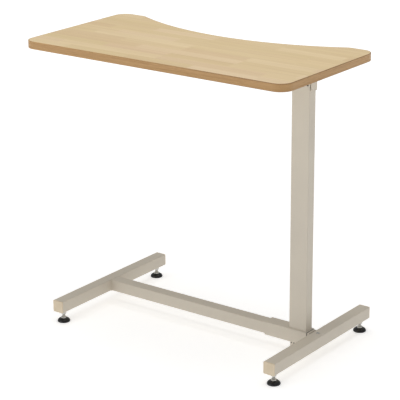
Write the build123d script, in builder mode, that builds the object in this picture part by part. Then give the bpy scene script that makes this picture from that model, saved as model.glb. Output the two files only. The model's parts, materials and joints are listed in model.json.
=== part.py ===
from build123d import *
import os

os.makedirs("parts", exist_ok=True)

# Overbed table: a wood-grained top carried at one end by a single post on an H-shaped base.
# Millimetres. +Z up, +X along the long side towards the post, +Y towards the hollowed back edge.
# Origin: on the floor, at the middle of the table's footprint.

# ---- driving dimensions -------------------------------------------------------------------
TABLE_HEIGHT = 750
BOARD_W = 800
BOARD_D = 405
BOARD_T = 20
BOARD_CORNER_R = 34
RECESS_HALF = 323.5          # half the chord of the hollow in the back edge
RECESS_DEPTH = 82
RECESS_BLEND_R = 25
BAND_T = 2                   # edge band
BAND_ROUND = 1.2
TOP_SKIN_T = 0.8
BACK_SKIN_T = 0.6

COLUMN_Y = -3.5              # the beam, post and board sit a little forward of the feet's middle
POST_X = 321
POST_W = 51.5
POST_D = 28
POST_WALL = 1.6
POST_R = 2.5

TUBE = 32                    # square tube of the feet and the cross beam
TUBE_WALL = 1.6
TUBE_R = 2.5
TUBE_BOTTOM = 31.5
FOOT_LENGTH = 445
LEFT_FOOT_X = -299
RIGHT_FOOT_X = 373
CAP_FLANGE = 3
CAP_PLUG = 11

SLEEVE = 37
SLEEVE_WALL = 2.4
SLEEVE_R = 2.8
SLEEVE_LEFT = 224
SLEEVE_RIGHT = 350

STRAP_T = 4                  # flat bars between the board and the arm
STRAP_W = 30
STRAP_L = 240
LEFT_STRAP_X = -250
MIDDLE_STRAP_X = 0
ARM_W = 40
ARM_H = 25
ARM_R = 2.5
ARM_WALL = 1.6
ARM_LEFT = -275
HEAD_PLATE_W = 130
HEAD_PLATE_D = 120
TONGUE_T = 2                 # turned-down ends of the head bracket
TONGUE_GAP = 2.3             # between a tongue and the post
TONGUE_W = 24
TONGUE_DROP = 44             # below the board

LEVELER_Y = 200
THREAD_R = 3.9               # M8 thread, drawn as a plain stem
RUN_CLEAR = 0.05
PAD_R = 17
PAD_H = 9.5

CLAMP_X = (309.5, 332.5)     # the two bolts that hold the sleeve on the beam
CLAMP_R = 3
CLAMP_BLOCK = (299.5, 343, 14)   # under the sleeve: from this X to this X, and how deep

# ---- values that follow from them ---------------------------------------------------------
TUBE_TOP = TUBE_BOTTOM + TUBE
TUBE_MID = TUBE_BOTTOM + TUBE / 2
BEAM_LEFT = LEFT_FOOT_X + TUBE / 2
BEAM_RIGHT = RIGHT_FOOT_X - TUBE / 2
SLEEVE_BOTTOM = TUBE_MID - SLEEVE / 2
SLEEVE_TOP = TUBE_MID + SLEEVE / 2
BOARD_BOTTOM = TABLE_HEIGHT - BOARD_T
STRAP_BOTTOM = BOARD_BOTTOM - STRAP_T
POST_LEFT = POST_X - POST_W / 2
POST_RIGHT = POST_X + POST_W / 2
ARM_RIGHT = POST_LEFT - TONGUE_GAP - TONGUE_T
ARM_MID = STRAP_BOTTOM - ARM_H / 2
RECESS_R = (RECESS_HALF**2 + RECESS_DEPTH**2) / (2 * RECESS_DEPTH)
FEET = {"left": LEFT_FOOT_X, "right": RIGHT_FOOT_X}
ENDS = {"front": -1, "back": 1}


def save(part, name):
    """Label one finished piece and write its STEP file."""
    part.label = name
    export_step(part, f"parts/{name}.step")


def tube_section(width, height, radius, wall):
    """Rounded rectangular ring, drawn in the sketch that is open."""
    RectangleRounded(width, height, radius)
    RectangleRounded(width - 2 * wall, height - 2 * wall, radius - wall, mode=Mode.SUBTRACT)


def hexagon(across_flats):
    """Regular hexagon by its spanner size, drawn in the sketch that is open."""
    RegularPolygon(across_flats / 2, 6, major_radius=False)


# ---- table top ----------------------------------------------------------------------------
with BuildSketch() as board_outline:
    with Locations((0, COLUMN_Y)):
        Rectangle(BOARD_W, BOARD_D)
    with Locations((0, COLUMN_Y + BOARD_D / 2 - RECESS_DEPTH + RECESS_R)):
        Circle(RECESS_R, mode=Mode.SUBTRACT)
    corners = [v for v in board_outline.vertices() if abs(v.X) > BOARD_W / 2 - 1]
    fillet(corners, radius=BOARD_CORNER_R)
    recess_ends = [v for v in board_outline.vertices() if abs(abs(v.X) - RECESS_HALF) < 1]
    fillet(recess_ends, radius=RECESS_BLEND_R)

with BuildSketch() as core_outline:
    add(board_outline.sketch)
    offset(amount=-BAND_T, mode=Mode.REPLACE)

# Where the wood screws go up into the board: four in the head bracket, four in each strap.
head_screw_points = [
    (POST_X + sx * (HEAD_PLATE_W / 2 - 12), COLUMN_Y + sy * (HEAD_PLATE_D / 2 - 12))
    for sx in (-1, 1)
    for sy in (-1, 1)
]
strap_screw_points = [
    (x, COLUMN_Y + sy * y)
    for x in (LEFT_STRAP_X, MIDDLE_STRAP_X)
    for y in (55, STRAP_L / 2 - 12)
    for sy in (-1, 1)
]
screw_points = head_screw_points + strap_screw_points
SCREW_R = 2
SCREW_HOLE_R = 2.25
SCREW_DEPTH = 14
SCREW_HEAD_R = 4
SCREW_HEAD_H = 2.4

with BuildPart() as table_core:
    with BuildSketch(Plane.XY.offset(BOARD_BOTTOM + BACK_SKIN_T)):
        add(core_outline.sketch)
    extrude(amount=BOARD_T - TOP_SKIN_T - BACK_SKIN_T)
    with BuildSketch(Plane.XY.offset(BOARD_BOTTOM)):
        with Locations(*screw_points):
            Circle(SCREW_R + RUN_CLEAR)
    extrude(amount=SCREW_DEPTH + 1, mode=Mode.SUBTRACT)
save(table_core.part, "table_core")

with BuildPart() as top_laminate:
    with BuildSketch(Plane.XY.offset(TABLE_HEIGHT - TOP_SKIN_T)):
        add(core_outline.sketch)
    extrude(amount=TOP_SKIN_T)
save(top_laminate.part, "top_laminate")

with BuildPart() as backing_laminate:
    with BuildSketch(Plane.XY.offset(BOARD_BOTTOM)):
        add(core_outline.sketch)
        with Locations(*screw_points):
            Circle(SCREW_R + RUN_CLEAR, mode=Mode.SUBTRACT)
    extrude(amount=BACK_SKIN_T)
save(backing_laminate.part, "backing_laminate")

with BuildPart() as edge_band:
    with BuildSketch(Plane.XY.offset(BOARD_BOTTOM)):
        add(board_outline.sketch)
    extrude(amount=BOARD_T)
    rims = edge_band.edges().group_by(Axis.Z)
    fillet(rims[0] + rims[-1], radius=BAND_ROUND)
    with BuildSketch(Plane.XY.offset(BOARD_BOTTOM)):
        add(core_outline.sketch)
    extrude(amount=BOARD_T, mode=Mode.SUBTRACT)
save(edge_band.part, "edge_band")

# ---- steelwork under the board ------------------------------------------------------------
for strap_name, strap_x in (("left_strap", LEFT_STRAP_X), ("middle_strap", MIDDLE_STRAP_X)):
    with BuildPart() as strap:
        with BuildSketch(Plane.XY.offset(STRAP_BOTTOM)):
            with Locations((strap_x, COLUMN_Y)):
                RectangleRounded(STRAP_W, STRAP_L, 5)
            with Locations(*[p for p in strap_screw_points if p[0] == strap_x]):
                Circle(SCREW_HOLE_R, mode=Mode.SUBTRACT)
        extrude(amount=STRAP_T)
    save(strap.part, strap_name)

# A plate on the post's top. Two tongues hang from it beside the post's narrow sides, each with a
# slot open between it and the post.
with BuildPart() as head_bracket:
    with BuildSketch(Plane.XY.offset(STRAP_BOTTOM)):
        with Locations((POST_X, COLUMN_Y)):
            RectangleRounded(HEAD_PLATE_W, HEAD_PLATE_D, 8)
        with Locations(*head_screw_points):
            Circle(SCREW_HOLE_R, mode=Mode.SUBTRACT)
    extrude(amount=STRAP_T)
    for tongue_start in (POST_LEFT - TONGUE_GAP - TONGUE_T, POST_RIGHT + TONGUE_GAP):
        with BuildSketch(Plane.YZ.offset(tongue_start)):
            with Locations((COLUMN_Y, BOARD_BOTTOM - TONGUE_DROP)):
                Rectangle(TONGUE_W, TONGUE_DROP - STRAP_T, align=(Align.CENTER, Align.MIN))
        extrude(amount=TONGUE_T)
    fillet(head_bracket.edges().filter_by(Axis.X).group_by(Axis.Z)[0], radius=4)
save(head_bracket.part, "head_bracket")

with BuildPart() as support_arm:
    with BuildSketch(Plane.YZ.offset(ARM_LEFT)):
        with Locations((COLUMN_Y, ARM_MID)):
            tube_section(ARM_W, ARM_H, ARM_R, ARM_WALL)
    extrude(amount=ARM_RIGHT - ARM_LEFT)
save(support_arm.part, "support_arm")


def end_cap(plane, centre, width, height, radius, wall):
    """Plastic plug for an open tube end: a flange outside, a hollow plug inside.

    The plane lies on the tube's end and faces out of it.
    """
    inner_w = width - 2 * wall - 0.3
    inner_h = height - 2 * wall - 0.3
    with BuildPart() as cap:
        with BuildSketch(plane):
            with Locations(centre):
                RectangleRounded(width, height, radius)
        extrude(amount=CAP_FLANGE)
        fillet(cap.faces().sort_by(Axis(plane.origin, plane.z_dir))[-1].edges(), radius=1.2)
        with BuildSketch(plane):
            with Locations(centre):
                RectangleRounded(inner_w, inner_h, 1)
        extrude(amount=-CAP_PLUG)
        with BuildSketch(plane.offset(-CAP_PLUG)):
            with Locations(centre):
                RectangleRounded(inner_w - 4, inner_h - 4, 0.8)
        extrude(amount=CAP_PLUG - 1, mode=Mode.SUBTRACT)
    return cap.part


arm_end = Plane(origin=(ARM_LEFT, 0, 0), x_dir=(0, -1, 0), z_dir=(-1, 0, 0))
save(end_cap(arm_end, (-COLUMN_Y, ARM_MID), ARM_W, ARM_H, ARM_R, ARM_WALL), "arm_end_cap")

with BuildPart() as board_screws:
    with BuildSketch(Plane.XY.offset(STRAP_BOTTOM)):
        with Locations(*screw_points):
            Circle(SCREW_R)
    extrude(amount=STRAP_T + SCREW_DEPTH)
    with BuildSketch(Plane.XY.offset(STRAP_BOTTOM)):
        with Locations(*screw_points):
            Circle(SCREW_HEAD_R)
    extrude(amount=-SCREW_HEAD_H, taper=12)
    with BuildSketch(Plane.XY.offset(STRAP_BOTTOM - SCREW_HEAD_H)):
        with Locations(*screw_points):
            Rectangle(3.6, 0.9)
            Rectangle(0.9, 3.6)
    extrude(amount=1.2, mode=Mode.SUBTRACT)
save(board_screws.part, "board_screws")

# ---- post and sleeve ----------------------------------------------------------------------
with BuildPart() as post:
    with BuildSketch(Plane.XY.offset(SLEEVE_TOP)):
        with Locations((POST_X, COLUMN_Y)):
            tube_section(POST_W, POST_D, POST_R, POST_WALL)
    extrude(amount=STRAP_BOTTOM - SLEEVE_TOP)
    # small hole high on the front face, near its right edge
    with BuildSketch(Plane.XZ.offset(POST_D / 2 - COLUMN_Y)):
        with Locations((POST_RIGHT - 6, BOARD_BOTTOM - 29)):
            Circle(2.5)
    extrude(amount=-2 * POST_WALL, mode=Mode.SUBTRACT)
save(post.part, "post")

clamp_points = [(x, COLUMN_Y) for x in CLAMP_X]
with BuildPart() as post_sleeve:
    with BuildSketch(Plane.YZ.offset(SLEEVE_LEFT)):
        with Locations((COLUMN_Y, TUBE_MID)):
            tube_section(SLEEVE, SLEEVE, SLEEVE_R, SLEEVE_WALL)
    extrude(amount=SLEEVE_RIGHT - SLEEVE_LEFT)
    with BuildSketch(Plane.XY.offset(SLEEVE_BOTTOM)):
        with Locations(*clamp_points):
            Circle(CLAMP_R + RUN_CLEAR)
    extrude(amount=SLEEVE, mode=Mode.SUBTRACT)
save(post_sleeve.part, "post_sleeve")

# ---- base ---------------------------------------------------------------------------------
SPIGOT = 22
SPIGOT_LEFT = 345
SPIGOT_RIGHT = 384
LOCK_SCREW_R = 2.5

with BuildPart() as cross_beam:
    with BuildSketch(Plane.YZ.offset(BEAM_LEFT)):
        with Locations((COLUMN_Y, TUBE_MID)):
            tube_section(TUBE, TUBE, TUBE_R, TUBE_WALL)
    extrude(amount=BEAM_RIGHT - BEAM_LEFT)
    with BuildSketch(Plane.XY.offset(TUBE_BOTTOM)):
        with Locations(*clamp_points):
            Circle(CLAMP_R + RUN_CLEAR)
    extrude(amount=TUBE, mode=Mode.SUBTRACT)
save(cross_beam.part, "cross_beam")

TUBE_HALF = FOOT_LENGTH / 2 - CAP_FLANGE
INSERT_R = 7
for side, foot_x in FEET.items():
    with BuildPart() as foot:
        with BuildSketch(Plane.XZ.offset(-TUBE_HALF)):
            with Locations((foot_x, TUBE_MID)):
                tube_section(TUBE, TUBE, TUBE_R, TUBE_WALL)
        extrude(amount=2 * TUBE_HALF)
        with BuildSketch(Plane.XY.offset(TUBE_BOTTOM)):
            with Locations((foot_x, -LEVELER_Y), (foot_x, LEVELER_Y)):
                Circle(INSERT_R + RUN_CLEAR)
        extrude(amount=TUBE_WALL, mode=Mode.SUBTRACT)
        if side == "right":
            with BuildSketch(Plane.YZ.offset(BEAM_RIGHT)):
                with Locations((COLUMN_Y, TUBE_MID)):
                    Rectangle(SPIGOT, SPIGOT)
            extrude(amount=TUBE_WALL, mode=Mode.SUBTRACT)
            with BuildSketch(Plane.XY.offset(TUBE_TOP)):
                with Locations((foot_x, COLUMN_Y)):
                    Circle(LOCK_SCREW_R + RUN_CLEAR)
            extrude(amount=-TUBE_WALL, mode=Mode.SUBTRACT)
    save(foot.part, f"{side}_foot")
    for end, sign in ENDS.items():
        end_plane = Plane(origin=(0, sign * TUBE_HALF, 0), x_dir=(-sign, 0, 0), z_dir=(0, sign, 0))
        cap = end_cap(end_plane, (-sign * foot_x, TUBE_MID), TUBE, TUBE, TUBE_R, TUBE_WALL)
        save(cap, f"{side}_foot_{end}_cap")

# The beam's spigot reaches into the right foot and is locked there by a screw from above.
with BuildPart() as foot_spigot:
    with BuildSketch(Plane.YZ.offset(SPIGOT_LEFT)):
        with Locations((COLUMN_Y, TUBE_MID)):
            Rectangle(SPIGOT, SPIGOT)
    extrude(amount=SPIGOT_RIGHT - SPIGOT_LEFT)
    with BuildSketch(Plane.XY.offset(TUBE_MID + SPIGOT / 2)):
        with Locations((RIGHT_FOOT_X, COLUMN_Y)):
            Circle(LOCK_SCREW_R + RUN_CLEAR)
    extrude(amount=-SPIGOT / 2, mode=Mode.SUBTRACT)
save(foot_spigot.part, "foot_spigot")

# A thin painted collar round the beam closes the gap between the sleeve and the right foot.
COLLAR_T = 1
COLLAR_CLEAR = 0.1
with BuildPart() as beam_collar:
    with BuildSketch(Plane.YZ.offset(SLEEVE_RIGHT)):
        with Locations((COLUMN_Y, TUBE_MID)):
            outer = TUBE + 2 * (COLLAR_T + COLLAR_CLEAR)
            tube_section(outer, outer, TUBE_R + COLLAR_T, COLLAR_T)
    extrude(amount=BEAM_RIGHT - SLEEVE_RIGHT)
save(beam_collar.part, "beam_collar")

with BuildPart() as lock_screw:
    with BuildSketch(Plane.XY.offset(TUBE_TOP)):
        with Locations((RIGHT_FOOT_X, COLUMN_Y)):
            Circle(4.5)
    extrude(amount=2)
    fillet(lock_screw.edges().group_by(Axis.Z)[-1], radius=1.2)
    with BuildSketch(Plane.XY.offset(TUBE_TOP)):
        with Locations((RIGHT_FOOT_X, COLUMN_Y)):
            Circle(LOCK_SCREW_R)
    extrude(amount=-12)
    with BuildSketch(Plane.XY.offset(TUBE_TOP + 2)):
        with Locations((RIGHT_FOOT_X, COLUMN_Y)):
            hexagon(3)
    extrude(amount=-1.5, mode=Mode.SUBTRACT)
save(lock_screw.part, "lock_screw")

# ---- fixings that hold the sleeve on the beam ---------------------------------------------
CLAMP_HEAD_H = 4
CLAMP_REACH = 11             # how far the bolts are screwed into the block
BLOCK_SCREW_X = (303, 311)   # two set screws in the block's front face
BLOCK_SCREW_R = 2
BLOCK_SCREW_L = 5
block_left, block_right, block_h = CLAMP_BLOCK
block_front = COLUMN_Y - POST_D / 2
block_screw_points = [(x, SLEEVE_BOTTOM - 2.6) for x in BLOCK_SCREW_X]

with BuildPart() as clamp_bolts:
    with BuildSketch(Plane.XY.offset(SLEEVE_TOP)):
        with Locations(*clamp_points):
            hexagon(10)
    extrude(amount=CLAMP_HEAD_H)
    with BuildSketch(Plane.XY.offset(SLEEVE_BOTTOM - CLAMP_REACH)):
        with Locations(*clamp_points):
            Circle(CLAMP_R)
    extrude(amount=SLEEVE + CLAMP_REACH)
save(clamp_bolts.part, "clamp_bolts")

with BuildPart() as clamp_block:
    with BuildSketch(Plane.YZ.offset(block_left)):
        with Locations((COLUMN_Y, SLEEVE_BOTTOM)):
            Rectangle(POST_D, block_h, align=(Align.CENTER, Align.MAX))
    extrude(amount=block_right - block_left)
    fillet(clamp_block.edges().group_by(Axis.Z)[0], radius=1.5)
    with BuildSketch(Plane.XY.offset(SLEEVE_BOTTOM)):
        with Locations(*clamp_points):
            Circle(CLAMP_R + RUN_CLEAR)
    extrude(amount=-CLAMP_REACH - 0.5, mode=Mode.SUBTRACT)
    with BuildSketch(Plane.XZ.offset(-block_front)):
        with Locations(*block_screw_points):
            Circle(BLOCK_SCREW_R + RUN_CLEAR)
    extrude(amount=-BLOCK_SCREW_L, mode=Mode.SUBTRACT)
save(clamp_block.part, "clamp_block")

with BuildPart() as block_screws:
    with BuildSketch(Plane.XZ.offset(-block_front)):
        with Locations(*block_screw_points):
            Circle(BLOCK_SCREW_R)
    extrude(amount=-BLOCK_SCREW_L)
    with BuildSketch(Plane.XZ.offset(-block_front)):
        with Locations(*block_screw_points):
            hexagon(2)
    extrude(amount=-2, mode=Mode.SUBTRACT)
save(block_screws.part, "block_screws")

# ---- levelling feet -----------------------------------------------------------------------
INSERT_L = 14
LOCK_NUT_AF = 13
LOCK_NUT_H = 10
STEM_TOP = TUBE_BOTTOM + 13.5
COLLAR_R = 6                 # the stem's foot, held in the pad
COLLAR_BOTTOM = 3.5
COLLAR_H = 4
AXIAL_CLEAR = 0.1
SPANNER_AF = 10
SPANNER_BOTTOM = 10
SPANNER_H = 3
leveler_points = [(x, y) for x in FEET.values() for y in (-LEVELER_Y, LEVELER_Y)]

with BuildPart() as leveler_inserts:
    with BuildSketch(Plane.XY.offset(TUBE_BOTTOM)):
        with Locations(*leveler_points):
            Circle(INSERT_R)
            Circle(THREAD_R + RUN_CLEAR, mode=Mode.SUBTRACT)
    extrude(amount=INSERT_L)
save(leveler_inserts.part, "leveler_inserts")

with BuildPart() as leveler_lock_nuts:
    with BuildSketch(Plane.XY.offset(TUBE_BOTTOM - LOCK_NUT_H)):
        with Locations(*leveler_points):
            hexagon(LOCK_NUT_AF)
            Circle(THREAD_R + RUN_CLEAR, mode=Mode.SUBTRACT)
    extrude(amount=LOCK_NUT_H)
save(leveler_lock_nuts.part, "leveler_lock_nuts")

for side, foot_x in FEET.items():
    for end, sign in ENDS.items():
        centre = (foot_x, sign * LEVELER_Y)

        with BuildPart() as stem:
            with BuildSketch(Plane.XY.offset(COLLAR_BOTTOM)):
                with Locations(centre):
                    Circle(COLLAR_R)
            extrude(amount=COLLAR_H)
            with BuildSketch(Plane.XY.offset(COLLAR_BOTTOM)):
                with Locations(centre):
                    Circle(THREAD_R)
            extrude(amount=STEM_TOP - COLLAR_BOTTOM)
            chamfer(stem.edges().group_by(Axis.Z)[-1], length=1)
            with BuildSketch(Plane.XY.offset(SPANNER_BOTTOM)):
                with Locations(centre):
                    hexagon(SPANNER_AF)
            extrude(amount=SPANNER_H)
        save(stem.part, f"{side}_{end}_leveler_stem")

        with BuildPart() as pad:
            pad_profile_plane = Plane(origin=(*centre, 0), x_dir=(1, 0, 0), z_dir=(0, -1, 0))
            with BuildSketch(pad_profile_plane):
                with BuildLine():
                    Polyline((0, 0), (PAD_R - 0.8, 0), (PAD_R, 0.8), (PAD_R, 3))
                    ThreePointArc((PAD_R, 3), (14, 7.2), (8, PAD_H))
                    Polyline((8, PAD_H), (0, PAD_H), (0, 0))
                make_face()
            revolve(axis=Axis((*centre, 0), (0, 0, 1)))
            with BuildSketch(Plane.XY.offset(COLLAR_BOTTOM - AXIAL_CLEAR)):
                with Locations(centre):
                    Circle(COLLAR_R + RUN_CLEAR)
            extrude(amount=COLLAR_H + 2 * AXIAL_CLEAR, mode=Mode.SUBTRACT)
            with BuildSketch(Plane.XY.offset(COLLAR_BOTTOM)):
                with Locations(centre):
                    Circle(THREAD_R + RUN_CLEAR)
            extrude(amount=PAD_H, mode=Mode.SUBTRACT)
        save(pad.part, f"{side}_{end}_leveler_pad")
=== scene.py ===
"""Looks of an overbed table: a wood-grained laminate top on one powder-coated post and an H-shaped base."""
import json
import math

import bpy
from mathutils import Matrix, Vector


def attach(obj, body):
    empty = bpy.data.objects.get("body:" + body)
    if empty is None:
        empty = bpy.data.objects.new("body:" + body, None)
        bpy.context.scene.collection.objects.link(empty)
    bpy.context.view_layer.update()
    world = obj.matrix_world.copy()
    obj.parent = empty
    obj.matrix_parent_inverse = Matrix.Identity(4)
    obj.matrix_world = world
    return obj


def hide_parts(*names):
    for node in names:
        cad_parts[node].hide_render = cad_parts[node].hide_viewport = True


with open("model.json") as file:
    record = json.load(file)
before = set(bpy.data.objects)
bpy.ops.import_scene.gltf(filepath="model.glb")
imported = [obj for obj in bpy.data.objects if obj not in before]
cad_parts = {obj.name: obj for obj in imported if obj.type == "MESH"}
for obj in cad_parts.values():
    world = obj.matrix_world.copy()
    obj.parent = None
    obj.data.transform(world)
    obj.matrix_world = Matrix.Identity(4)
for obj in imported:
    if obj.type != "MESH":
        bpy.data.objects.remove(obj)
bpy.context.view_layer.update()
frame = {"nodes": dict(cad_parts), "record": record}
NODES = frame["nodes"]
MM = 0.001
BASE = "table_frame"

# where some CAD pieces are, in millimetres, for the pieces added to them
COLUMN_Y = -3.5                  # the beam, the post and the board's middle
BEAM_Z = 47.5                    # the beam's middle
BEAM_LEFT_X = -283               # its end at the left foot
SLEEVE_END_X = 350
POST_X = 321
POST_FOOT_Z, POST_HEAD_Z = 66.4, 725.8
ARM_END_X, ARM_Z = 291, 713.5    # the support arm's end at the bracket, and its middle
BOARD_MIDDLE_Z = 740


# ---- node-tree helpers --------------------------------------------------------------------
def srgb(r, g, b):
    """Linear colour, with alpha, of an 8-bit screen colour."""
    def channel(value):
        c = value / 255
        return c / 12.92 if c <= 0.04045 else ((c + 0.055) / 1.055) ** 2.4

    return (channel(r), channel(g), channel(b), 1.0)


def new_material(name, roughness=0.5, metallic=0.0):
    """An empty node material with its Principled shader."""
    material = bpy.data.materials.new(name)
    material.use_nodes = True
    tree = material.node_tree
    shader = tree.nodes["Principled BSDF"]
    shader.inputs["Roughness"].default_value = roughness
    shader.inputs["Metallic"].default_value = metallic
    return material, tree, shader


def add(tree, kind, settings=None, **inputs):
    """Adds one node. An input given as a socket is linked, any other is set."""
    node = tree.nodes.new(kind)
    for key, value in (settings or {}).items():
        setattr(node, key, value)
    for key, value in inputs.items():
        socket = node.inputs[int(key[2:])] if key.startswith("in") else node.inputs[key.replace("_", " ")]
        if isinstance(value, bpy.types.NodeSocket):
            tree.links.new(value, socket)
        else:
            socket.default_value = value
    return node


def math_node(tree, operation, a, b=0.0):
    """Output of one Math node."""
    return add(tree, "ShaderNodeMath", {"operation": operation}, in0=a, in1=b).outputs[0]


def mix_colour(tree, factor, a, b):
    """Output of one colour Mix node."""
    node = tree.nodes.new("ShaderNodeMix")
    node.data_type = "RGBA"
    for index, value in ((0, factor), (6, a), (7, b)):
        if isinstance(value, bpy.types.NodeSocket):
            tree.links.new(value, node.inputs[index])
        else:
            node.inputs[index].default_value = value
    return node.outputs[2]


def ramp(tree, factor, stops):
    """Output of a colour ramp. Stops are (place, colour) pairs."""
    node = add(tree, "ShaderNodeValToRGB", in0=factor)
    elements = node.color_ramp.elements
    while len(elements) < len(stops):
        elements.new(1.0)
    for element, (position, colour) in zip(elements, stops):
        element.position = position
        element.color = colour
    return node.outputs["Color"]


def place(tree, scale=(1, 1, 1), offset=None):
    """The object's own coordinates in metres, stretched, with an optional extra offset socket."""
    coords = add(tree, "ShaderNodeTexCoord").outputs["Object"]
    if offset is not None:
        coords = add(tree, "ShaderNodeVectorMath", {"operation": "ADD"}, in0=coords, in1=offset).outputs[0]
    return add(tree, "ShaderNodeMapping", Vector=coords, Scale=scale).outputs[0]


def noise(tree, vector, scale=1.0, detail=3.0, roughness=0.5, distortion=0.0):
    """Grey value of a noise texture."""
    return add(
        tree, "ShaderNodeTexNoise", Vector=vector, Scale=scale, Detail=detail,
        Roughness=roughness, Distortion=distortion,
    ).outputs[0]


def bump(tree, shader, height, strength, distance):
    """Gives the shader a bump from a height socket."""
    node = add(tree, "ShaderNodeBump", Strength=strength, Distance=distance, Height=height)
    tree.links.new(node.outputs[0], shader.inputs["Normal"])


def grey(value):
    return (value, value, value, 1.0)


def grey_ramp(tree, factor, low, high):
    """A colour ramp between two greys. Low and high are (place, grey) pairs."""
    return ramp(tree, factor, [(low[0], grey(low[1])), (high[0], grey(high[1]))])


def lay_over(tree, colour, mask, low, high, other):
    """Mixes another colour in where a mask, passed through a grey ramp, is bright."""
    return mix_colour(tree, grey_ramp(tree, mask, low, high), colour, other)


def drifting(tree, mask, low, high):
    """A mix of two colours that follows the middle part of a noise."""
    return mix_colour(tree, grey_ramp(tree, mask, (0.3, 0), (0.7, 1)), low, high)


# ---- materials ----------------------------------------------------------------------------
def stave_laminate():
    """Pale finger-jointed staves along X, each a little pinker, yellower or darker, with fine grain."""
    material, tree, shader = new_material("stave_laminate", roughness=0.42)
    stave_w, stave_l = 0.034, 0.31
    finger, finger_slope = 0.0019, 3.2
    coords = add(tree, "ShaderNodeTexCoord").outputs["Object"]
    split = add(tree, "ShaderNodeSeparateXYZ", Vector=coords)
    # finger joints: a triangle wave across the stave shifts its ends to and fro
    wave = math_node(tree, "PINGPONG", split.outputs[1], finger)
    shifted = math_node(tree, "MULTIPLY_ADD", wave, finger_slope)
    tree.links.new(split.outputs[0], shifted.node.inputs[2])
    joined = add(tree, "ShaderNodeCombineXYZ", X=shifted, Y=split.outputs[1]).outputs[0]
    bricks = add(
        tree, "ShaderNodeTexBrick",
        {"offset": 0.37, "offset_frequency": 3, "squash": 0.62, "squash_frequency": 2},
        Vector=joined, Color1=grey(0.0), Color2=grey(1.0), Mortar=grey(0.5), Scale=1.0,
        Mortar_Size=0.0, Brick_Width=stave_l, Row_Height=stave_w,
    )
    pick = bricks.outputs["Color"]
    tint = ramp(tree, pick, [
        (0.0, srgb(236, 210, 164)), (0.22, srgb(227, 203, 151)), (0.42, srgb(238, 211, 172)),
        (0.62, srgb(240, 216, 171)), (0.8, srgb(223, 196, 145)), (1.0, srgb(232, 203, 164)),
    ])
    # every stave takes its grain from another place
    jump = add(tree, "ShaderNodeVectorMath", {"operation": "SCALE"}, in0=pick, Scale=7.3).outputs[0]
    streaks = noise(tree, place(tree, (2.2, 85, 1), jump), detail=5, roughness=0.6, distortion=0.35)
    fibres = noise(tree, place(tree, (9, 620, 1), jump), detail=3, roughness=0.55)
    pores = noise(tree, place(tree, (34, 1150, 1), jump), detail=1, roughness=0.4)
    clouds = noise(tree, place(tree, (2.6, 5.5, 1)), detail=2)
    rings = add(
        tree, "ShaderNodeTexWave", {"wave_type": "BANDS", "bands_direction": "Y", "wave_profile": "SIN"},
        Vector=place(tree, (1.1, 17, 1), jump), Scale=1.6, Distortion=5.5, Detail=2.5,
        Detail_Scale=0.9, Detail_Roughness=0.55,
    ).outputs["Fac"]
    colour = lay_over(tree, tint, streaks, (0.36, 0), (0.66, 0.34), srgb(201, 170, 124))
    colour = lay_over(tree, colour, rings, (0.62, 0), (1.0, 0.16), srgb(194, 160, 116))
    colour = lay_over(tree, colour, fibres, (0.3, 0.2), (0.6, 0), srgb(205, 177, 132))
    colour = lay_over(tree, colour, pores, (0.69, 0), (0.76, 0.3), srgb(178, 143, 98))
    colour = lay_over(tree, colour, clouds, (0.3, 0.0), (0.7, 0.25), srgb(231, 210, 170))
    tree.links.new(colour, shader.inputs["Base Color"])
    tree.links.new(grey_ramp(tree, fibres, (0.2, 0.47), (0.8, 0.37)), shader.inputs["Roughness"])
    bump(tree, shader, math_node(tree, "SUBTRACT", fibres, pores), 0.16, 0.0002)
    return material


def band_wood():
    """Brown wood-grain edge band: its grain runs along the band, in thin layers up its height."""
    material, tree, shader = new_material("band_wood", roughness=0.45)
    layers = noise(tree, place(tree, (3.5, 3.5, 330)), detail=4, roughness=0.6, distortion=0.25)
    flecks = noise(tree, place(tree, (42, 42, 1300)), detail=2, roughness=0.5)
    patches = noise(tree, place(tree, (5, 5, 60)), detail=2)
    colour = drifting(tree, layers, srgb(192, 152, 99), srgb(169, 128, 77))
    colour = lay_over(tree, colour, flecks, (0.52, 0), (0.7, 0.6), srgb(146, 104, 58))
    colour = lay_over(tree, colour, patches, (0.35, 0), (0.7, 0.35), srgb(198, 158, 108))
    # painted shade: thin darker lines along its upper and lower edges, stronger towards the post's end,
    # stand in for the shade on the band's rounded edges
    split = add(tree, "ShaderNodeSeparateXYZ", Vector=add(tree, "ShaderNodeTexCoord").outputs["Object"])
    height = math_node(tree, "SUBTRACT", split.outputs[2], BOARD_MIDDLE_Z * MM)
    from_middle = math_node(tree, "ABSOLUTE", height)
    painted_edge_shade = add(tree, "ShaderNodeMapRange", Value=from_middle, From_Min=0.0078, From_Max=0.0092).outputs[0]
    along = add(
        tree, "ShaderNodeMapRange", Value=split.outputs[0], From_Min=-0.1, From_Max=0.3, To_Max=0.55,
    ).outputs[0]
    # mixes the painted edge shade into the band's colour
    colour = mix_colour(tree, math_node(tree, "MULTIPLY", painted_edge_shade, along), colour, srgb(120, 82, 44))
    tree.links.new(colour, shader.inputs["Base Color"])
    tree.links.new(grey_ramp(tree, layers, (0.3, 0.4), (0.7, 0.52)), shader.inputs["Roughness"])
    bump(tree, shader, math_node(tree, "ADD", layers, flecks), 0.2, 0.00025)
    return material


def powder_coat():
    """Greige powder coat on steel: a fine orange-peel skin with faint speckle and softly varied gloss."""
    material, tree, shader = new_material("powder_coat", roughness=0.42)
    peel = noise(tree, place(tree), scale=620, detail=2, roughness=0.45)
    speckle = noise(tree, place(tree), scale=1900, detail=1)
    drift = noise(tree, place(tree), scale=9, detail=3)
    colour = drifting(tree, drift, srgb(209, 200, 184), srgb(205, 196, 181))
    colour = lay_over(tree, colour, speckle, (0.6, 0), (0.75, 0.3), srgb(196, 186, 168))
    tree.links.new(colour, shader.inputs["Base Color"])
    tree.links.new(grey_ramp(tree, drift, (0.3, 0.4), (0.7, 0.48)), shader.inputs["Roughness"])
    bump(tree, shader, peel, 0.22, 0.00012)
    return material


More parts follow.
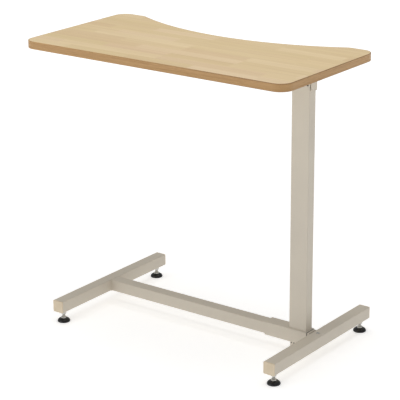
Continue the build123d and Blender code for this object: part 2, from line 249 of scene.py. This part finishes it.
def moulded_plastic(name, base, shade, roughness, grain):
    """Injection-moulded plastic with a fine spark-eroded grain."""
    material, tree, shader = new_material(name, roughness=roughness)
    texture = noise(tree, place(tree), scale=grain, detail=3, roughness=0.6)
    drift = noise(tree, place(tree), scale=45, detail=2)
    colour = drifting(tree, drift, base, shade)
    tree.links.new(colour, shader.inputs["Base Color"])
    low, high = roughness - 0.06, roughness + 0.06
    tree.links.new(grey_ramp(tree, texture, (0.3, low), (0.7, high)), shader.inputs["Roughness"])
    bump(tree, shader, texture, 0.2, 0.0001)
    return material


def zinc_plate():
    """Bright zinc plating, cloudy, with fine tool marks."""
    material, tree, shader = new_material("zinc_plate", roughness=0.34, metallic=1.0)
    clouds = noise(tree, place(tree), scale=160, detail=3)
    marks = noise(tree, place(tree, (400, 400, 2600)), detail=1)
    colour = drifting(tree, clouds, srgb(214, 212, 206), srgb(190, 189, 184))
    tree.links.new(colour, shader.inputs["Base Color"])
    tree.links.new(grey_ramp(tree, clouds, (0.3, 0.28), (0.7, 0.42)), shader.inputs["Roughness"])
    bump(tree, shader, marks, 0.12, 0.0001)
    return material


def chip_core():
    """Raw particle board: pressed chips of several browns."""
    material, tree, shader = new_material("chip_core", roughness=0.85)
    chips = add(
        tree, "ShaderNodeTexVoronoi", {"feature": "F1"}, Vector=place(tree, (1, 1, 2.5)), Scale=420,
    ).outputs["Color"]
    browns = [(0.1, srgb(150, 118, 78)), (0.5, srgb(182, 150, 106)), (0.9, srgb(205, 176, 132))]
    colour = ramp(tree, chips, browns)
    tree.links.new(colour, shader.inputs["Base Color"])
    bump(tree, shader, chips, 0.4, 0.0003)
    return material


def backing_skin():
    """Plain pale balancing laminate of the underside, faintly mottled."""
    material, tree, shader = new_material("backing_skin", roughness=0.6)
    mottle = noise(tree, place(tree, (30, 60, 1)), detail=4, roughness=0.6)
    fine = noise(tree, place(tree, (120, 900, 1)), detail=2)
    colour = drifting(tree, mottle, srgb(214, 203, 180), srgb(206, 193, 168))
    tree.links.new(colour, shader.inputs["Base Color"])
    bump(tree, shader, fine, 0.15, 0.0001)
    return material


SLOT_MATERIAL = {
    "core_board": chip_core(),
    "top_laminate": stave_laminate(),
    "backing_laminate": backing_skin(),
    "edge_band": band_wood(),
    "powder_coat": powder_coat(),
    "cap_plastic": moulded_plastic("cap_plastic", srgb(222, 206, 180), srgb(215, 198, 170), 0.5, 1500),
    "zinc_steel": zinc_plate(),
    "black_plastic": moulded_plastic("pad_black", srgb(14, 14, 16), srgb(9, 9, 11), 0.3, 1800),
}
NODE_SLOT = {entry["node"]: entry["material_slot"] for entry in frame["record"]["subparts"]}

for node_name, node in NODES.items():
    node.data.materials.clear()
    node.data.materials.append(SLOT_MATERIAL[NODE_SLOT[node_name]])


# ---- softened edges on the CAD pieces -----------------------------------------------------
def soften(node_name, width, segments=2):
    """A small rounded edge, as bent, cut or moulded pieces have."""
    node = NODES[node_name]
    weld = node.modifiers.new("join_faces", "WELD")
    weld.merge_threshold = 1e-6
    bevel = node.modifiers.new("edge_round", "BEVEL")
    bevel.width = width
    bevel.segments = segments
    bevel.limit_method = "ANGLE"
    bevel.angle_limit = math.radians(40)
    bevel.harden_normals = False


EDGE_ROUND = {
    "left_strap": 0.5, "middle_strap": 0.5, "head_bracket": 0.4, "post_sleeve": 0.4,
    "leveler_lock_nuts": 0.5, "clamp_block": 0.4, "beam_collar": 0.2, "foot_spigot": 0.5,
}
for node_name, width in EDGE_ROUND.items():
    soften(node_name, width * MM)


# ---- pieces added to the CAD --------------------------------------------------------------
def new_piece(name, verts, faces, body, slot):
    """A mesh given in millimetres that travels with a body."""
    mesh = bpy.data.meshes.new(name)
    mesh.from_pydata([(x * MM, y * MM, z * MM) for x, y, z in verts], [], faces)
    mesh.materials.append(SLOT_MATERIAL[slot])
    mesh.shade_smooth()
    piece = bpy.data.objects.new(name, mesh)
    bpy.context.scene.collection.objects.link(piece)
    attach(piece, body)
    return piece


def ring_faces(rows, around, closed_rows=False):
    """Quads between neighbouring rings of vertices."""
    faces = []
    for row in range(rows if closed_rows else rows - 1):
        lower, upper = row * around, (row + 1) % rows * around
        for i in range(around):
            j = (i + 1) % around
            faces.append((lower + i, lower + j, upper + j, upper + i))
    return faces


# the levelling feet: where each stands, and its stem's sizes in millimetres
LEVELLERS = {
    "left_front": (-299, -200), "left_back": (-299, 200),
    "right_front": (373, -200), "right_back": (373, 200),
}
COLLAR_R, NECK_R, HEXAGON_AF = 5.95, 3.6, 13
THREAD_PITCH, THREAD_R, THREAD_DEPTH = 1.25, 3.9, 0.62
THREAD_BOTTOM, THREAD_TOP = 13.6, 44.2
RINGS_PER_TURN = 8
RUN_OUT_RINGS = 6                # rings over which the thread's groove deepens
AROUND = 48                      # points round a stem, a multiple of six for its spanner hexagon


def stem_rings():
    """Heights of a leveller stem's rings, each with its radius as a function of the angle.

    From below: the collar held in the pad, the neck, the spanner hexagon, the thread, the tip.
    """
    def plain(radius):
        return lambda angle: radius

    def hexagon(half_af):
        sixth = math.pi / 3
        return lambda angle: half_af / math.cos(angle % sixth - sixth / 2)

    def thread(z, fade):
        def radius(angle):
            turn = (z / THREAD_PITCH - angle / (2 * math.pi)) % 1.0
            # a flat crest, a slope, a flat root in the turn's middle, and a slope back
            groove = min(1.0, max(0.0, 1.35 - abs(turn - 0.5) * 3.4))
            return THREAD_R - THREAD_DEPTH * groove * fade
        return radius

    flats = hexagon(HEXAGON_AF / 2)
    rings = [
        (3.5, plain(5.6)), (3.8, plain(COLLAR_R)), (7.2, plain(COLLAR_R)), (7.5, plain(5.6)),
        (7.52, plain(NECK_R)), (9.68, plain(NECK_R)),
        (9.7, plain(6.0)), (10.1, flats), (12.9, flats), (13.3, plain(6.0)), (13.32, plain(3.5)),
    ]
    steps = int((THREAD_TOP - THREAD_BOTTOM) / THREAD_PITCH * RINGS_PER_TURN)
    for i in range(steps + 1):
        z = THREAD_BOTTOM + (THREAD_TOP - THREAD_BOTTOM) * i / steps
        rings.append((z, thread(z, min(1.0, i / RUN_OUT_RINGS))))
    return rings + [(44.6, plain(3.1)), (45.0, plain(2.6))]


STEM_RINGS = stem_rings()


def threaded_stem(corner):
    """The stem with a helical thread and a wider spanner hexagon, in place of the plain CAD rod."""
    x, y = LEVELLERS[corner]
    verts = []
    for z, radius in STEM_RINGS:
        for i in range(AROUND):
            angle = 2 * math.pi * i / AROUND
            verts.append((x + radius(angle) * math.cos(angle), y + radius(angle) * math.sin(angle), z))
    faces = ring_faces(len(STEM_RINGS), AROUND)
    faces.append(tuple(reversed(range(AROUND))))
    faces.append(tuple(range(len(verts) - AROUND, len(verts))))
    piece = new_piece(f"{corner}_threaded_stem", verts, faces, f"{corner}_stem", "zinc_steel")
    piece.data.set_sharp_from_angle(angle=math.radians(35))
    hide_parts(f"{corner}_leveler_stem")


for corner in LEVELLERS:
    threaded_stem(corner)


BEAD_STEP = 0.5                  # millimetres between a weld bead's rings
BEAD_SIDES = 8


def weld_bead(name, corners, radius):
    """A rippled bead laid along a closed loop of points, painted over."""
    points = []
    for start, end in zip(corners, corners[1:] + corners[:1]):
        start, end = Vector(start), Vector(end)
        steps = max(2, round((end - start).length / BEAD_STEP))
        points += [start.lerp(end, i / steps) for i in range(steps)]
    count = len(points)
    verts = []
    for i, point in enumerate(points):
        along = (points[(i + 1) % count] - points[i - 1]).normalized()
        across = along.orthogonal().normalized()
        other = along.cross(across)
        ripple, sway = 0.13 * math.sin(i * 1.9), 0.05 * math.sin(i * 0.37)
        size = radius * (1.0 + ripple + sway)
        for k in range(BEAD_SIDES):
            angle = 2 * math.pi * k / BEAD_SIDES
            verts.append(point + size * (math.cos(angle) * across + math.sin(angle) * other))
    new_piece(name, verts, ring_faces(count, BEAD_SIDES, closed_rows=True), BASE, "powder_coat")


def loop_yz(x, y, z, width, height):
    """Corners of a rectangle that stands across X."""
    w, h = width / 2, height / 2
    return [(x, y - w, z - h), (x, y + w, z - h), (x, y + w, z + h), (x, y - w, z + h)]


def loop_xy(x, y, z, width, depth):
    """Corners of a level rectangle."""
    w, d = width / 2, depth / 2
    return [(x - w, y - d, z), (x + w, y - d, z), (x + w, y + d, z), (x - w, y + d, z)]


weld_bead("beam_left_weld", loop_yz(BEAM_LEFT_X, COLUMN_Y, BEAM_Z, 31.4, 31.4), 1.2)
weld_bead("post_head_weld", loop_xy(POST_X, COLUMN_Y, POST_HEAD_Z, 51.2, 27.7), 1.3)
weld_bead("post_foot_weld", loop_xy(POST_X, COLUMN_Y, POST_FOOT_Z, 51.8, 28.3), 1.0)
weld_bead("arm_end_weld", loop_yz(ARM_END_X, COLUMN_Y, ARM_Z, 23.6, 24.6), 1.2)


def square_ring(name, left, right, half, inner_half, body, slot):
    """A square ring about the beam, from one X to another. Half and inner_half are half widths."""
    corner = [(-1, -1), (1, -1), (1, 1), (-1, 1)]
    sections = [(left, inner_half), (left, half), (right, half), (right, inner_half)]
    verts = [(x, COLUMN_Y + a * size, BEAM_Z + b * size) for x, size in sections for a, b in corner]
    piece = new_piece(name, verts, ring_faces(4, 4, closed_rows=True), body, slot)
    piece.data.shade_flat()


# a black ring at the sleeve's open end, beside the right foot: painted shadow, a dark sheet that stands in
# for the shade in the gap between the sleeve's end and the beam
SHADOW_RING_THICK, SHADOW_RING_HALF, SHADOW_RING_INNER_HALF = 1.2, 17.6, 17.15
square_ring(
    "sleeve_end_trim", SLEEVE_END_X, SLEEVE_END_X + SHADOW_RING_THICK, SHADOW_RING_HALF, SHADOW_RING_INNER_HALF,
    BASE, "black_plastic",
)


# ---- studio -------------------------------------------------------------------------------
def studio_floor():
    """A wide pale floor with a faint glow of its own, like a lit sweep."""
    h = 30.0                     # half its width, in metres
    mesh = bpy.data.meshes.new("studio_floor")
    mesh.from_pydata([(-h, -h, 0), (h, -h, 0), (h, h, 0), (-h, h, 0)], [], [(0, 1, 2, 3)])
    floor = bpy.data.objects.new("studio_floor", mesh)
    bpy.context.scene.collection.objects.link(floor)
    material, tree, shader = new_material("studio_floor", roughness=0.9)
    shader.inputs["Base Color"].default_value = (0.86, 0.86, 0.86, 1)
    shader.inputs["Specular IOR Level"].default_value = 0.0
    shader.inputs["Emission Color"].default_value = (1, 1, 1, 1)
    # the glow grows far from the table, where the lamps no longer reach
    coords = add(tree, "ShaderNodeTexCoord").outputs["Object"]
    away = add(tree, "ShaderNodeVectorMath", {"operation": "LENGTH"}, in0=coords).outputs["Value"]
    glow = add(
        tree, "ShaderNodeMapRange", Value=away, From_Min=1.2, From_Max=3.2, To_Min=0.455, To_Max=0.78,
    )
    tree.links.new(glow.outputs[0], shader.inputs["Emission Strength"])
    mesh.materials.append(material)


def soft_light(name, location, target, size, power):
    """A square area light aimed at a point."""
    data = bpy.data.lights.new(name, "AREA")
    data.shape = "SQUARE"
    data.size = size
    data.energy = power
    light = bpy.data.objects.new(name, data)
    light.location = location
    light.rotation_mode = "QUATERNION"
    light.rotation_quaternion = (Vector(target) - Vector(location)).to_track_quat("-Z", "Y")
    bpy.context.scene.collection.objects.link(light)


def studio_world(strength):
    """Even white surroundings."""
    world = bpy.data.worlds.new("studio_world")
    world.use_nodes = True
    background = world.node_tree.nodes["Background"]
    background.inputs["Color"].default_value = (1, 1, 1, 1)
    background.inputs["Strength"].default_value = strength
    bpy.context.scene.world = world


def camera(location, yaw, pitch, roll, lens):
    """The camera, turned about the vertical, tipped, and rolled about its own axis, in degrees."""
    data = bpy.data.cameras.new("camera")
    data.sensor_width = 36.0
    data.lens = lens
    data.clip_start = 0.1
    data.clip_end = 100.0
    cam = bpy.data.objects.new("camera", data)
    turn = Matrix.Rotation(math.radians(yaw), 4, "Z")
    tip = Matrix.Rotation(math.radians(90 + pitch), 4, "X")
    twist = Matrix.Rotation(math.radians(roll), 4, "Z")
    cam.matrix_world = Matrix.Translation(location) @ turn @ tip @ twist
    bpy.context.scene.collection.objects.link(cam)
    bpy.context.scene.camera = cam


studio_floor()
studio_world(0.41)
middle = (0.0, 0.0, 0.42)
soft_light("overhead", (0.0, 0.0, 2.9), middle, 2.4, 34)
soft_light("front_left", (-1.8, -3.2, 1.7), middle, 2.0, 16.6)
camera((2.3550, -3.1583, 1.6683), 36.644, -18.605, -0.407, 145.0)
bpy.context.scene.view_settings.view_transform = "Standard"
